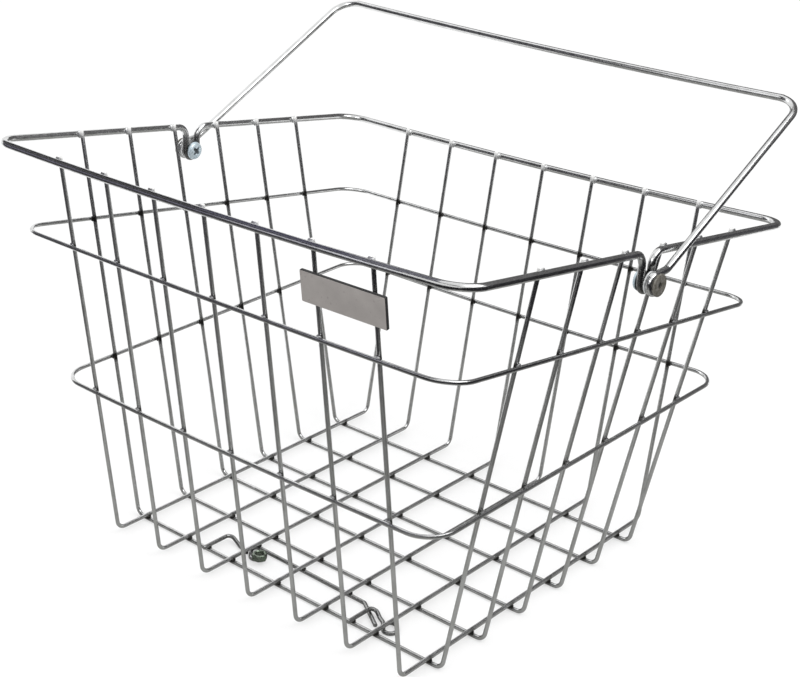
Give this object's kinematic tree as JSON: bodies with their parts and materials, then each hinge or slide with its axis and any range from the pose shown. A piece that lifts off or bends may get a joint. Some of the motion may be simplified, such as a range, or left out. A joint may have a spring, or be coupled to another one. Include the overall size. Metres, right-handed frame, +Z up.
{
  "type": "bicycle basket",
  "caption": "Open wire bicycle basket with a flared mesh body, a heavy rim that slopes, bracket wires in the bottom and a wire carrying handle that swings over the top.",
  "frame": {"origin": "middle of the bottom, on the surface that the basket stands on", "axes": "+X along the long side towards the name plate's end, -Y out of the side with the name plate, which faces forward, +Z up"},
  "size_m": [0.4306, 0.3841, 0.3528],
  "materials": {
    "chrome_wire": "bright plating over steel wire, a little dulled",
    "blue_zinc": "clear blue zinc plating",
    "bright_zinc": "bright zinc plating",
    "dark_zinc": "dull brownish zinc plating",
    "grey_plate": "satin warm grey sheet"
  },
  "bodies": {
    "basket": {"depth_wire_1": "chrome_wire", "depth_wire_2": "chrome_wire", "depth_wire_3": "chrome_wire", "depth_wire_4": "chrome_wire", "depth_wire_5": "chrome_wire", "depth_wire_6": "chrome_wire", "depth_wire_7": "chrome_wire", "lower_ring": "chrome_wire", "mount_cross_wire": "chrome_wire", "mount_leg_left": "chrome_wire", "mount_leg_right": "chrome_wire", "mount_nut": "dark_zinc", "name_plate": "grey_plate", "pivot_nut_left": "dark_zinc", "pivot_nut_right": "dark_zinc", "pivot_screw_left": "blue_zinc", "pivot_screw_right": "blue_zinc", "pivot_washer_left": "bright_zinc", "pivot_washer_right": "bright_zinc", "rim": "chrome_wire", "upper_ring": "chrome_wire", "width_wire_1": "chrome_wire", "width_wire_2": "chrome_wire", "width_wire_3": "chrome_wire", "width_wire_4": "chrome_wire", "width_wire_5": "chrome_wire", "width_wire_6": "chrome_wire"},
    "handle": {"handle": "chrome_wire"}
  },
  "joints": [
    {"name": "handle_swing", "type": "hinge", "parent": "basket", "child": "handle", "pos_m": [0, -0.0011, 0.2575], "axis": [1, 0, 0], "range_deg": [-15, 129]}
  ]
}
